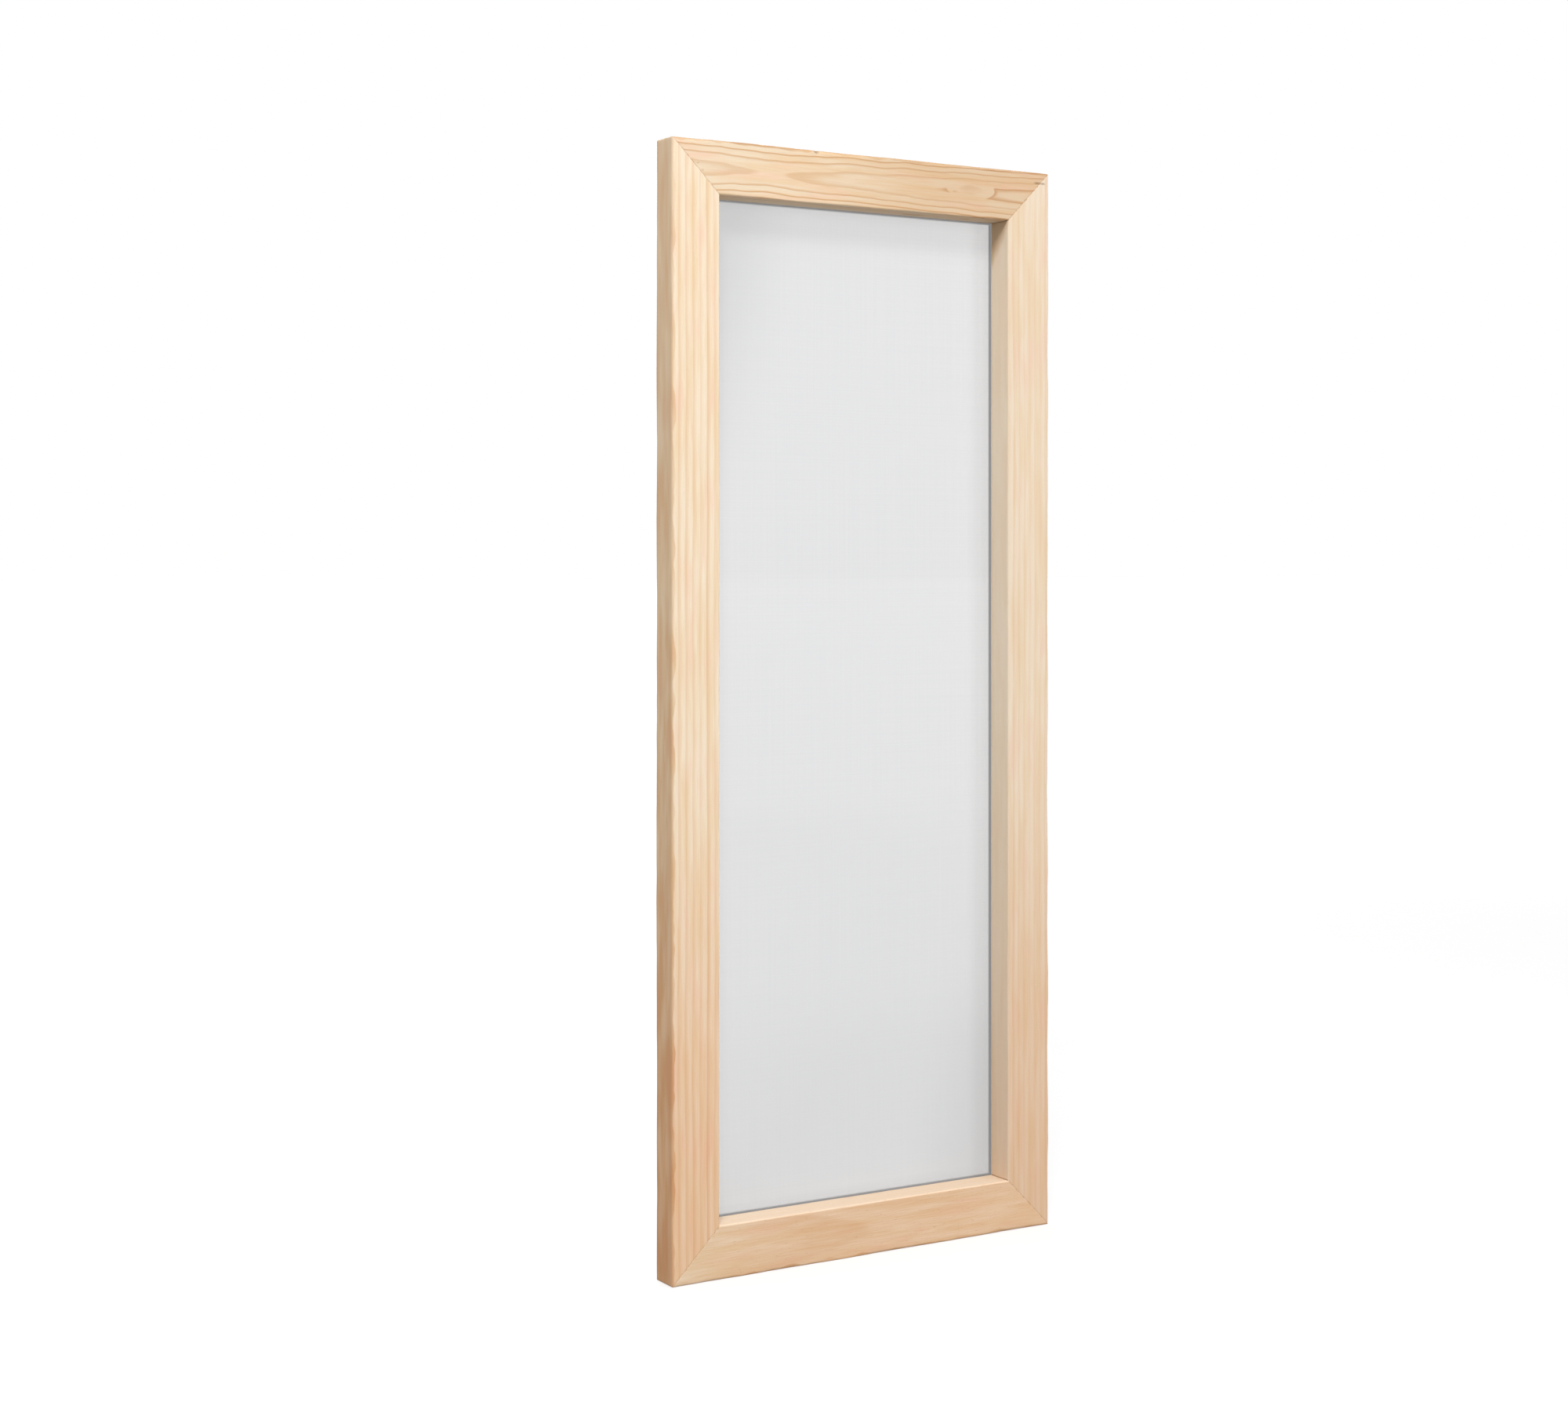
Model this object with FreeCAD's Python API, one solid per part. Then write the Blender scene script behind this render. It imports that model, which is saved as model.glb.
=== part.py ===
"""Screen printing frame: four mitred pine battens with a polyester mesh stretched over the back.

The frame stands upright on its bottom rail. +X runs across it, +Y runs from the open front, where
the ink goes, to the mesh at the back, which prints, and +Z is up. The origin is at the bottom, in
the middle of the width and of the whole depth. All sizes are in millimetres.

Everything that repeats round the frame is made once on a "side": x runs along the batten from its
middle, and z is the distance in from its outer edge. place_on_side() then turns it into position.
What belongs to a mitre is made at a "corner": x runs in from the outer corner along the joint, and
z runs across it. place_on_corner() does the same for that.
"""

import FreeCAD, Part
import math
import os

from FreeCAD import Vector

# Timber
FRAME_HEIGHT = 840.0
FRAME_WIDTH = 343.0
RAIL_WIDTH = 40.0
RAIL_DEPTH = 25.0
OUTER_ARRIS = 2.0
INNER_FRONT_ARRIS = 1.2
INNER_BACK_ARRIS = 3.0
CORNER_RADIUS = 1.5
JOINT_LINE = 0.4

# Layers on the back of the timber, from the wood outwards
ADHESIVE_THICKNESS = 0.15
MESH_THICKNESS = 0.12
TAPE_THICKNESS = 0.45
MESH_MARGIN = 6.0
TAPE_MARGIN = 8.5
TAPE_WIDTH = 25.0
STRIP_GAP = 0.3

# Staples: flat wire, driven through the tape, the mesh and the adhesive into the timber
STAPLE_CROWN = 10.6
STAPLE_LEG = 8.0
STAPLE_POINT = 1.2
WIRE_WIDTH = 1.25
WIRE_THICKNESS = 0.55
STAPLE_SLANT = 32.0
STAPLE_INSET = TAPE_MARGIN + TAPE_WIDTH / 2
STAPLE_PITCH = 56.0
FIRST_STAPLE = 68.0

# Reinforcement inside the mitres: a size 0 joiner's biscuit and two corrugated fasteners
BISCUIT_LENGTH = 47.0
BISCUIT_WIDTH = 15.0
BISCUIT_END = 2.0
BISCUIT_THICKNESS = 4.0
BISCUIT_FROM_FRONT = 7.0
FASTENER_WAVE = 1.25
FASTENER_WAVES = 5
FASTENER_THICKNESS = 0.5
FASTENER_DEPTH = 10.0
FASTENER_RECESS = 0.3
FASTENER_PLACES = (18.0, 38.0)
CLEARANCE = 0.05

# Depths, from the front face to the crowns of the staples
TOTAL_DEPTH = RAIL_DEPTH + ADHESIVE_THICKNESS + MESH_THICKNESS + TAPE_THICKNESS + WIRE_THICKNESS
FRONT_Y = -TOTAL_DEPTH / 2
WOOD_BACK_Y = FRONT_Y + RAIL_DEPTH
ADHESIVE_BACK_Y = WOOD_BACK_Y + ADHESIVE_THICKNESS
MESH_BACK_Y = ADHESIVE_BACK_Y + MESH_THICKNESS
TAPE_BACK_Y = MESH_BACK_Y + TAPE_THICKNESS

MITRE_LENGTH = RAIL_WIDTH * math.sqrt(2)
AXIS_Y = Vector(0, 1, 0)

# side: (length of the batten, distance of its outer edge from the middle of the frame, turn)
SIDES = {
    "bottom": (FRAME_WIDTH, FRAME_HEIGHT / 2, 0),
    "left": (FRAME_HEIGHT, FRAME_WIDTH / 2, 90),
    "top": (FRAME_WIDTH, FRAME_HEIGHT / 2, 180),
    "right": (FRAME_HEIGHT, FRAME_WIDTH / 2, -90),
}
BATTEN_NAMES = {
    "bottom": "bottom_rail",
    "left": "left_stile",
    "top": "top_rail",
    "right": "right_stile",
}

# corner: (x of the outer corner, z of the outer corner, turn)
CORNERS = {
    "bottom_left": (-FRAME_WIDTH / 2, 0, -45),
    "bottom_right": (FRAME_WIDTH / 2, 0, -135),
    "top_right": (FRAME_WIDTH / 2, FRAME_HEIGHT, 135),
    "top_left": (-FRAME_WIDTH / 2, FRAME_HEIGHT, 45),
}


def box(x_range, y_range, z_range):
    """A box between two limits on each axis."""
    lows, highs = zip(x_range, y_range, z_range)
    size = Vector(*highs) - Vector(*lows)
    return Part.makeBox(size.x, size.y, size.z, Vector(*lows))


def prism(points, along):
    """A closed polygon, extruded along a vector."""
    outline = Part.makePolygon([*points, points[0]])
    return Part.Face(outline).extrude(along)


def rounded_outline(corners, radii):
    """A closed wire round right-angled corners, each rounded to its own radius."""
    arcs = []
    for i, corner in enumerate(corners):
        to_last = (corners[i - 1] - corner).normalize() * radii[i]
        to_next = (corners[(i + 1) % len(corners)] - corner).normalize() * radii[i]
        middle = corner + (to_last + to_next) * (1 - math.sqrt(0.5))
        arcs.append(Part.Arc(corner + to_last, middle, corner + to_next).toShape())
    lines = [
        Part.makeLine(arcs[i - 1].lastVertex().Point, arcs[i].firstVertex().Point)
        for i in range(len(arcs))
    ]
    return Part.Wire(Part.__sortEdges__(arcs + lines))


def place_on_side(shape, side):
    """Moves a copy of a shape from the side's own frame to its place round the frame."""
    _, reach, turn = SIDES[side]
    placed = shape.copy()
    placed.translate(Vector(0, 0, -reach))
    placed.rotate(Vector(0, 0, 0), AXIS_Y, turn)
    placed.translate(Vector(0, 0, FRAME_HEIGHT / 2))
    return placed


def place_on_corner(shape, corner):
    """Moves a copy of a shape from the corner's own frame to its place round the frame."""
    x, z, turn = CORNERS[corner]
    placed = shape.copy()
    placed.rotate(Vector(0, 0, 0), AXIS_Y, turn)
    placed.translate(Vector(x, 0, z))
    return placed


def mitred_batten(length):
    """One batten with eased arrises and a 45 degree cut at each end."""
    section = rounded_outline(
        [
            Vector(-length / 2, FRONT_Y, 0),
            Vector(-length / 2, WOOD_BACK_Y, 0),
            Vector(-length / 2, WOOD_BACK_Y, RAIL_WIDTH),
            Vector(-length / 2, FRONT_Y, RAIL_WIDTH),
        ],
        [OUTER_ARRIS, OUTER_ARRIS, INNER_BACK_ARRIS, INNER_FRONT_ARRIS],
    )
    batten = Part.Face(section).extrude(Vector(length, 0, 0))
    mitres = prism(
        [
            Vector(-length / 2, FRONT_Y, 0),
            Vector(length / 2, FRONT_Y, 0),
            Vector(length / 2 - RAIL_WIDTH, FRONT_Y, RAIL_WIDTH),
            Vector(-length / 2 + RAIL_WIDTH, FRONT_Y, RAIL_WIDTH),
        ],
        Vector(0, RAIL_DEPTH, 0),
    )
    return batten.common(mitres)


def frame_outline():
    """The whole frame as one slab with its outer corners rounded, which the battens are cut to."""
    outline = rounded_outline(
        [
            Vector(-FRAME_WIDTH / 2, FRONT_Y, 0),
            Vector(FRAME_WIDTH / 2, FRONT_Y, 0),
            Vector(FRAME_WIDTH / 2, FRONT_Y, FRAME_HEIGHT),
            Vector(-FRAME_WIDTH / 2, FRONT_Y, FRAME_HEIGHT),
        ],
        [CORNER_RADIUS] * 4,
    )
    return Part.Face(outline).extrude(Vector(0, RAIL_DEPTH, 0))


def joint_line(face_y, inwards):
    """The small V that eased edges leave along a mitre, on the face at face_y."""
    start = -JOINT_LINE
    section = [
        Vector(start, face_y, JOINT_LINE),
        Vector(start, face_y, -JOINT_LINE),
        Vector(start, face_y + inwards * JOINT_LINE, 0),
    ]
    return prism(section, Vector(MITRE_LENGTH + 2 * JOINT_LINE, 0, 0))


def biscuit(clearance=0.0):
    """A pressed beech biscuit across the middle of the mitre, or its slot with a clearance."""
    middle = MITRE_LENGTH / 2
    low_x = middle - BISCUIT_LENGTH / 2 - clearance
    high_x = middle + BISCUIT_LENGTH / 2 + clearance
    end_z = BISCUIT_END / 2 + clearance
    bulge_z = BISCUIT_WIDTH / 2 + clearance
    low_y = FRONT_Y + BISCUIT_FROM_FRONT - clearance
    corners = [
        Vector(low_x, low_y, end_z),
        Vector(high_x, low_y, end_z),
        Vector(high_x, low_y, -end_z),
        Vector(low_x, low_y, -end_z),
    ]
    outline = Part.Wire(
        [
            Part.Arc(corners[0], Vector(middle, low_y, bulge_z), corners[1]).toShape(),
            Part.makeLine(corners[1], corners[2]),
            Part.Arc(corners[2], Vector(middle, low_y, -bulge_z), corners[3]).toShape(),
            Part.makeLine(corners[3], corners[0]),
        ]
    )
    return Part.Face(outline).extrude(Vector(0, BISCUIT_THICKNESS + 2 * clearance, 0))


def wave_edges(x, z, radii, wave_radius):
    """Half circles side by side along z, bulging to +x and -x in turn."""
    edges = []
    for i, radius in enumerate(radii):
        middle_z = z + (2 * i + 1) * wave_radius
        bulge = radius if i % 2 == 0 else -radius
        start = Vector(x, 0, middle_z - radius)
        end = Vector(x, 0, middle_z + radius)
        edges.append(Part.Arc(start, Vector(x + bulge, 0, middle_z), end).toShape())
    return edges


def corrugated_fastener(along_mitre, clearance=0.0):
    """A corrugated steel strip across the mitre, or its slot when given a clearance."""
    half = FASTENER_THICKNESS / 2 + clearance
    arcs = 2 * FASTENER_WAVES
    wide, narrow = FASTENER_WAVE + half, FASTENER_WAVE - half
    start_z = -arcs * FASTENER_WAVE
    one_side = wave_edges(along_mitre, start_z, [wide, narrow] * FASTENER_WAVES, FASTENER_WAVE)
    other_side = wave_edges(along_mitre, start_z, [narrow, wide] * FASTENER_WAVES, FASTENER_WAVE)
    ends = [
        Part.makeLine(one_side[i].Vertexes[i].Point, other_side[i].Vertexes[i].Point) for i in (0, -1)
    ]
    outline = Part.Wire(Part.__sortEdges__(one_side + other_side + ends))
    strip = Part.Face(outline).extrude(Vector(0, FASTENER_DEPTH + 2 * clearance, 0))
    strip.translate(Vector(0, WOOD_BACK_Y - FASTENER_RECESS - FASTENER_DEPTH - clearance, 0))
    return strip


def staple_places(side):
    """Where the staples stand along a side, evenly spaced between its two corners."""
    span = SIDES[side][0] - 2 * FIRST_STAPLE
    gaps = round(span / STAPLE_PITCH)
    return [span * (i / gaps - 0.5) for i in range(gaps + 1)]


def put_staple(shape, x, side):
    """Turns a staple, or a hole for one, to its slant and moves it to its place on a side."""
    towards_end = (x > 0) - (x < 0)
    placed = shape.copy()
    placed.rotate(Vector(0, 0, 0), AXIS_Y, STAPLE_SLANT * towards_end)
    placed.translate(Vector(x, TAPE_BACK_Y, STAPLE_INSET))
    return place_on_side(placed, side)


def staple():
    """One staple about the middle of its crown, whose underside is at y = 0."""
    outer = STAPLE_CROWN / 2
    inner = outer - WIRE_THICKNESS
    shoulder = STAPLE_POINT - STAPLE_LEG
    start = -WIRE_WIDTH / 2
    outline = [
        Vector(-outer, WIRE_THICKNESS, start),
        Vector(outer, WIRE_THICKNESS, start),
        Vector(outer, -STAPLE_LEG, start),
        Vector(inner, shoulder, start),
        Vector(inner, 0, start),
        Vector(-inner, 0, start),
        Vector(-inner, shoulder, start),
        Vector(-outer, -STAPLE_LEG, start),
    ]
    return prism(outline, Vector(0, 0, WIRE_WIDTH))


def leg_holes():
    """The two holes that a staple's legs need, in every layer that they pass."""
    outer = STAPLE_CROWN / 2 + CLEARANCE
    inner = STAPLE_CROWN / 2 - WIRE_THICKNESS - CLEARANCE
    depth = (-STAPLE_LEG - CLEARANCE, WIRE_THICKNESS)
    width = (-WIRE_WIDTH / 2 - CLEARANCE, WIRE_WIDTH / 2 + CLEARANCE)
    return [box((inner, outer), depth, width), box((-outer, -inner), depth, width)]


def staples_on(side):
    """All the staples of one side."""
    return [put_staple(staple(), x, side) for x in staple_places(side)]


def holes_on(side):
    """All the staple holes of one side."""
    return [put_staple(hole, x, side) for x in staple_places(side) for hole in leg_holes()]


def strip(side, margin, inner_edge, y_range):
    """A flat strip along a side. Those on the left and right run through the frame's corners."""
    half_length = SIDES[side][0] / 2 - margin
    if side in ("top", "bottom"):
        half_length = SIDES[side][0] / 2 - inner_edge - STRIP_GAP
    return box((-half_length, half_length), y_range, (margin, inner_edge))


def screen_mesh():
    """The stretched mesh, a little smaller than the frame all round, with its staple holes."""
    half_width = FRAME_WIDTH / 2 - MESH_MARGIN
    heights = (MESH_MARGIN, FRAME_HEIGHT - MESH_MARGIN)
    sheet = box((-half_width, half_width), (ADHESIVE_BACK_Y, MESH_BACK_Y), heights)
    return sheet.cut([hole for side in SIDES for hole in holes_on(side)])


def mitre_cuts():
    """Everything that is cut out of the battens at the four mitres."""
    cuts = [biscuit(CLEARANCE), joint_line(FRONT_Y, 1), joint_line(WOOD_BACK_Y, -1)]
    cuts += [corrugated_fastener(x, CLEARANCE) for x in FASTENER_PLACES]
    return [place_on_corner(cut, corner) for cut in cuts for corner in CORNERS]


def batten(side):
    """The batten of one side, with its slots and holes."""
    whole = place_on_side(mitred_batten(SIDES[side][0]), side)
    return whole.common(frame_outline()).cut(mitre_cuts() + holes_on(side))


def adhesive(side):
    """The adhesive between one batten and the mesh, up to the batten's eased inner edge."""
    inner_edge = RAIL_WIDTH - INNER_BACK_ARRIS
    band = strip(side, MESH_MARGIN, inner_edge, (WOOD_BACK_Y, ADHESIVE_BACK_Y))
    return place_on_side(band, side).cut(holes_on(side))


def tape(side):
    """The tape that spreads the pull of one side's staples over the mesh."""
    band = strip(side, TAPE_MARGIN, TAPE_MARGIN + TAPE_WIDTH, (MESH_BACK_Y, TAPE_BACK_Y))
    return place_on_side(band, side).cut(holes_on(side))


def save(name, shape):
    """Writes one node, and says so if it isn't sound."""
    if not shape.isValid():
        print("not valid:", name)
    shape.exportStep(os.path.join("parts", name + ".step"))


os.makedirs("parts", exist_ok=True)
save("screen_mesh", screen_mesh())
for side, batten_name in BATTEN_NAMES.items():
    save(batten_name, batten(side))
    save("adhesive_" + side, adhesive(side))
    save("tape_" + side, tape(side))
    save("staples_" + side, Part.makeCompound(staples_on(side)))
for corner in CORNERS:
    fasteners = [place_on_corner(corrugated_fastener(x), corner) for x in FASTENER_PLACES]
    save("mitre_biscuit_" + corner, place_on_corner(biscuit(), corner))
    save("corrugated_fasteners_" + corner, Part.makeCompound(fasteners))
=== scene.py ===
"""The looks of the screen printing frame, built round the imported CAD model. Lengths are in metres.

Each batten has its own coordinates: u runs along it from its middle, v is the distance in from its
outer edge, and y is the depth, as everywhere. The battens' meshes and their grain use them. The
materials measure in millimetres, and count the battens' depth from the front face.
"""

import math

import bmesh
import bpy
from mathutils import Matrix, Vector, noise
from mathutils.bvhtree import BVHTree


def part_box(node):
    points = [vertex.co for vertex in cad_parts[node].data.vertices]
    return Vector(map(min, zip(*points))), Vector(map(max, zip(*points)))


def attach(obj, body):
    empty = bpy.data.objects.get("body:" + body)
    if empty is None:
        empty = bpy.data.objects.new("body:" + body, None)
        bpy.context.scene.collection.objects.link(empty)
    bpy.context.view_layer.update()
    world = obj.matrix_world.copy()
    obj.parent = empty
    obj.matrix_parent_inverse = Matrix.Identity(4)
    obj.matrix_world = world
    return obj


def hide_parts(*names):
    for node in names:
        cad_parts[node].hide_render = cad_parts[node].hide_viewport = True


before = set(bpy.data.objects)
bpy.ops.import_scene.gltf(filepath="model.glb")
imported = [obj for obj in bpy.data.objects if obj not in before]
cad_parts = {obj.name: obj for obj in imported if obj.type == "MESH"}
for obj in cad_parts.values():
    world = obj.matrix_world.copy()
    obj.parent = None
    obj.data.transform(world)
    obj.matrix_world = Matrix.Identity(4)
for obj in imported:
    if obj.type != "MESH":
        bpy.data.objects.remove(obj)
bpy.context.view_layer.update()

# Where the CAD says things are
HALF_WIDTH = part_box("right_stile")[1].x
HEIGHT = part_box("top_rail")[1].z
MIDDLE = HEIGHT / 2
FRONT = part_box("left_stile")[0].y
WOOD_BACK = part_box("left_stile")[1].y
RAIL_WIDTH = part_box("bottom_rail")[1].z
MESH_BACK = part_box("screen_mesh")[1].y
TAPE_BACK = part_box("tape_left")[1].y

MM = 0.001
HALF_LENGTH = {"left": MIDDLE, "right": MIDDLE, "top": HALF_WIDTH, "bottom": HALF_WIDTH}
BATTENS = {"left": "left_stile", "right": "right_stile", "top": "top_rail", "bottom": "bottom_rail"}

# The battens' edges, which are sanded by hand, so each radius wanders along the batten
FRONT_OUTER_ARRIS = 2.0 * MM
BACK_OUTER_ARRIS = 1.8 * MM
FRONT_INNER_ARRIS = 1.3 * MM
BACK_INNER_ARRIS = 3.0 * MM
SLOW_WAVES_PER_M = 19
QUICK_WAVES_PER_M = 75
LEAST_ARRIS = 0.35
CORNER_RADIUS = 1.5 * MM
MITRE_EASE = 0.16 * MM

# How finely the battens' meshes are divided
RING_STEP = 3.0 * MM
ARC_PARTS = 5
SHARP_ANGLE = math.radians(35)

# Each dent in a batten's front: its u and v, its reach and its depth
DENTS = {
    "top": [
        ((-47.0 * MM, 1.0 * MM), 2.2 * MM, 1.2 * MM),
        ((161.6 * MM, 8.0 * MM), 1.8 * MM, 0.5 * MM),
    ]
}
DENTED_LAYER = 4 * MM

# The screen mesh's grid, and its cut edge
MESH_COLUMNS = 110
MESH_ROWS = 276
MESH_FRAY = 0.7 * MM
FRAY_WAVES_PER_M = 45

# The cotton tape puffs up a little between its staples
TAPE_STEP = 1.3 * MM
TAPE_PINCH = 3.5 * MM
TAPE_FULLNESS = 0.4 * MM
TAPE_EDGE_DROP = 0.2 * MM
TAPE_SELVEDGE_WANDER = 0.35 * MM
TAPE_END_WANDER = 0.5 * MM


def place(side, u, v, y):
    """A point of the row frame from a batten's own coordinates."""
    if side == "left":
        return Vector((v - HALF_WIDTH, y, MIDDLE + u))
    if side == "right":
        return Vector((HALF_WIDTH - v, y, MIDDLE + u))
    if side == "top":
        return Vector((u, y, HEIGHT - v))
    return Vector((u, y, v))


def srgb(red, green, blue):
    """A colour given as 0 to 255 on a screen, as Blender's linear one."""
    parts = [c / 255 for c in (red, green, blue)]
    return (*[c / 12.92 if c <= 0.04045 else ((c + 0.055) / 1.055) ** 2.4 for c in parts], 1.0)


WHITE = (1.0, 1.0, 1.0, 1.0)


# ---------------------------------------------------------------- nodes


class Nodes:
    """A node tree that is being built. A value is a number, a colour or a node's output."""

    def __init__(self, tree):
        self.tree = tree

    def feed(self, socket, value):
        if isinstance(value, bpy.types.NodeSocket):
            self.tree.links.new(value, socket)
        else:
            socket.default_value = value

    def node(self, kind, *values, **settings):
        node = self.tree.nodes.new(kind)
        for key, value in settings.items():
            setattr(node, key, value)
        for socket, value in zip(node.inputs, values):
            self.feed(socket, value)
        return node


class Paint(Nodes):
    """A material. Most methods add a node to it and return the node's output."""

    def __init__(self, name):
        self.material = bpy.data.materials.new(name)
        self.material.use_nodes = True
        super().__init__(self.material.node_tree)
        self.shader = self.tree.nodes["Principled BSDF"]

    def math(self, operation, *values):
        return self.node("ShaderNodeMath", *values, operation=operation).outputs[0]

    def wave(self, value, pitch):
        """A sine that repeats as value goes up by pitch."""
        return self.math("SINE", self.math("MULTIPLY", value, 2 * math.pi / pitch))

    def noise(self, x, y, z, detail=2.0):
        """The node itself, because it has a number and a colour to give."""
        node = self.node("ShaderNodeTexNoise")
        self.feed(node.inputs["Vector"], self.node("ShaderNodeCombineXYZ", x, y, z).outputs[0])
        self.feed(node.inputs["Scale"], 1.0)
        self.feed(node.inputs["Detail"], detail)
        return node

    def noise_value(self, x, y, z, detail=2.0):
        return self.noise(x, y, z, detail).outputs[0]

    def step(self, value, low, high, from_value=0.0, to_value=1.0):
        """Goes smoothly from from_value to to_value as value goes from low to high."""
        node = self.node("ShaderNodeMapRange", interpolation_type="SMOOTHSTEP")
        for socket, number in zip(node.inputs, (value, low, high, from_value, to_value)):
            self.feed(socket, number)
        return node.outputs[0]

    def mix(self, factor, first, second, blend="MIX"):
        node = self.node("ShaderNodeMix", data_type="RGBA", blend_type=blend)
        self.feed(node.inputs[0], factor)
        self.feed(node.inputs[6], first)
        self.feed(node.inputs[7], second)
        return node.outputs[2]

    def position(self):
        """The object's own x, y and z, in millimetres."""
        source = self.node("ShaderNodeTexCoord").outputs["Object"]
        split = self.node("ShaderNodeSeparateXYZ", source)
        return [self.math("MULTIPLY", axis, 1 / MM) for axis in split.outputs]

    def finish(self, colour, roughness, height, bump_mm, **constants):
        """Sets the surface, with a bump whose full height is bump_mm."""
        bump = self.node("ShaderNodeBump")
        self.feed(bump.inputs["Strength"], 1.0)
        self.feed(bump.inputs["Distance"], bump_mm * MM)
        self.feed(bump.inputs["Height"], height)
        self.feed(self.shader.inputs["Normal"], bump.outputs[0])
        self.feed(self.shader.inputs["Base Color"], colour)
        self.feed(self.shader.inputs["Roughness"], roughness)
        for key, value in constants.items():
            self.shader.inputs[key.replace("_", " ")].default_value = value
        return self.material


# ---------------------------------------------------------------- the look of the pine

# The wood's markings, as their length along the batten and their width in millimetres
BLOTCH_SIZE = (90.0, 7.0)
BLUSH_SIZE = (60.0, 10.0)
FIBRE_SIZE = (22.0, 0.55)
DUCT_SIZE = (4.5, 0.5)
WANDER_WIDTH = 55.0

INNER_FACE_FROM_TO = (38.6, 39.8)
PATINA_FROM_TO = (420.0, -320.0)
PALEST_RING = 0.45

JOINT_GLUE = srgb(176, 134, 92)
# Painted light: a pale cream that makes the inner faces look more brightly lit
INNER_FACE_LIGHT = srgb(244, 232, 212)
# Multiplies the inner face near a corner: partly a real brown stain, partly a painted shadow
CORNER_STAIN_AND_SHADE = (0.76, 0.66, 0.54, 1.0)

# Lengths are in millimetres. The rings turn round a pith at pith_v, which is deepest at crest and
# comes forward by rise for each millimetre away from there; crest_length rounds that turn off.
# ring is the width of one ring, and line is the part of it that is pale. A knot is (centre, size,
# how far it pushes the rings) and a mark is (centre, size, strength, colour), all by u and v.
PLAIN_PINE = {
    "seed": 0.0,
    "wander": 5.0,
    "sway": 5.0,
    "wander_length": 170.0,
    "pith_v": 150.0,
    "pith_depth": 20.0,
    "crest": 0.0,
    "crest_length": 200.0,
    "rise": 0.0,
    "ring": 6.0,
    "knots": [],
    "marks": [],
    "line": 0.35,
    "contrast": 0.5,
    "flecks": 0.15,
    "fibres": 0.18,
    "early": srgb(240, 223, 198),
    "warm": srgb(236, 211, 176),
    "blush": srgb(241, 207, 182),
    "late": srgb(204, 160, 112),
    "duct": srgb(170, 122, 78),
    "inner_light": 0.3,
    # Painted shade: the colour a batten is multiplied by towards one end, and where along it that happens
    "end_shade": (0.94, 0.78, 0.68, 1.0),
    "end_shade_from_to": (0.0, -360.0),
    "edge": (0.82, 0.67, 0.51, 1.0),
    "patina": 2.8,
    "corner_stain_and_shade": 0.0,
}

GRAIN = {
    "left": {
        **PLAIN_PINE,
        "seed": 3.0,
        "early": srgb(233, 217, 193),
        "warm": srgb(229, 205, 171),
        "blush": srgb(234, 201, 177),
    },
    "right": {
        **PLAIN_PINE,
        "seed": 11.0,
        "pith_v": -190.0,
        "ring": 5.2,
        "contrast": 0.3,
        "early": srgb(224, 208, 186),
        "warm": srgb(220, 198, 168),
        "blush": srgb(224, 196, 174),
        "end_shade": (0.94, 0.8, 0.71, 1.0),
        "edge": WHITE,
        "corner_stain_and_shade": 1.0,
        "marks": [((411.5, 6.5), (1.4, 4.4), 0.95, srgb(96, 60, 32))],
    },
    "top": {
        **PLAIN_PINE,
        "seed": 23.0,
        "sway": 1.0,
        "wander_length": 45.0,
        "pith_v": 23.0,
        "pith_depth": 16.75,
        "crest": -90.0,
        "crest_length": 5.0,
        "rise": 0.022,
        "ring": 3.2,
        "line": 0.6,
        "contrast": 0.85,
        "late": srgb(192, 144, 94),
        "inner_light": 0.0,
        "early": srgb(225, 206, 179),
        "warm": srgb(222, 193, 156),
        "blush": srgb(229, 195, 168),
        "end_shade": (0.86, 0.8, 0.74, 1.0),
        "end_shade_from_to": (-90.0, 90.0),
        "knots": [((97.0, 22.0), (26.0, 6.5), 3.0)],
        "marks": [
            ((-47.0, 1.0), (3.2, 2.4), 0.95, srgb(104, 82, 64)),
            ((160.5, 8.5), (5.0, 1.4), 0.95, srgb(96, 60, 32)),
            ((-150.0, 18.0), (1.6, 1.0), 0.5, srgb(150, 110, 74)),
            ((-146.0, 23.0), (1.6, 1.2), 0.5, srgb(150, 110, 74)),
            ((148.0, 23.0), (2.2, 1.4), 0.5, srgb(150, 110, 74)),
            ((80.0, 21.0), (3.0, 1.2), 0.6, srgb(180, 136, 82)),
            ((112.0, 25.0), (4.0, 1.5), 0.5, srgb(190, 148, 96)),
        ],
    },
    "bottom": {
        **PLAIN_PINE,
        "seed": 37.0,
        "pith_v": 24.0,
        "pith_depth": 130.0,
        "crest": 260.0,
        "rise": 0.02,
        "ring": 4.5,
        "contrast": 0.3,
        "flecks": 0.6,
        "fibres": 0.34,
        "early": srgb(231, 217, 194),
        "warm": srgb(225, 203, 170),
        "blush": srgb(229, 202, 177),
        "inner_light": 0.65,
        "end_shade_from_to": (-260.0, -40.0),
    },
}


def batten_point(paint, side):
    """u, v and the depth behind the front face, in millimetres."""
    x, y, z = paint.position()
    depth = paint.math("SUBTRACT", y, FRONT / MM)
    if side == "left":
        return paint.math("SUBTRACT", z, MIDDLE / MM), paint.math("ADD", x, HALF_WIDTH / MM), depth
    if side == "right":
        return paint.math("SUBTRACT", z, MIDDLE / MM), paint.math("SUBTRACT", HALF_WIDTH / MM, x), depth
    if side == "top":
        return x, paint.math("SUBTRACT", HEIGHT / MM, z), depth
    return x, z, depth


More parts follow.
